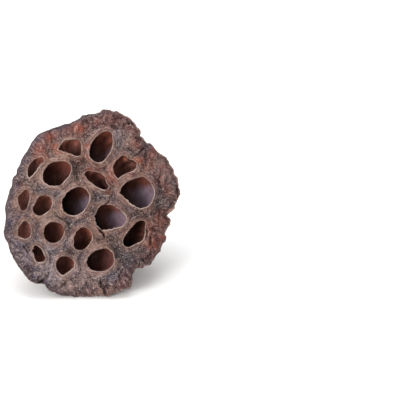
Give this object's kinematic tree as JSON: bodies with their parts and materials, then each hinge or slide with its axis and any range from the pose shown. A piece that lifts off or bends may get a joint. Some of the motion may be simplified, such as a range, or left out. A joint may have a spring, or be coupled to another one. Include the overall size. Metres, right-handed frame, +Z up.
{
  "type": "dried lotus pod",
  "caption": "Woody cone-shaped seed head lying on its side, its domed face full of open seed cells, with the cut stub of its stem at the tip.",
  "frame": {"origin": "centre of the bounding box in x and y, on the ground that the pod lies on", "axes": "+Z up; -Y the way the pod's face looks, tipped up by about 40 degrees; +X across the face, to the right as seen from in front"},
  "size_m": [0.1004, 0.0824, 0.0819],
  "materials": {
    "dried_tissue": "matte, mottled grey-purple and red-brown dried plant tissue",
    "stalk_cork": "matte, pale corky cut stalk"
  },
  "bodies": {
    "root": {"receptacle": "dried_tissue", "stem_stub": "stalk_cork"}
  },
  "joints": []
}
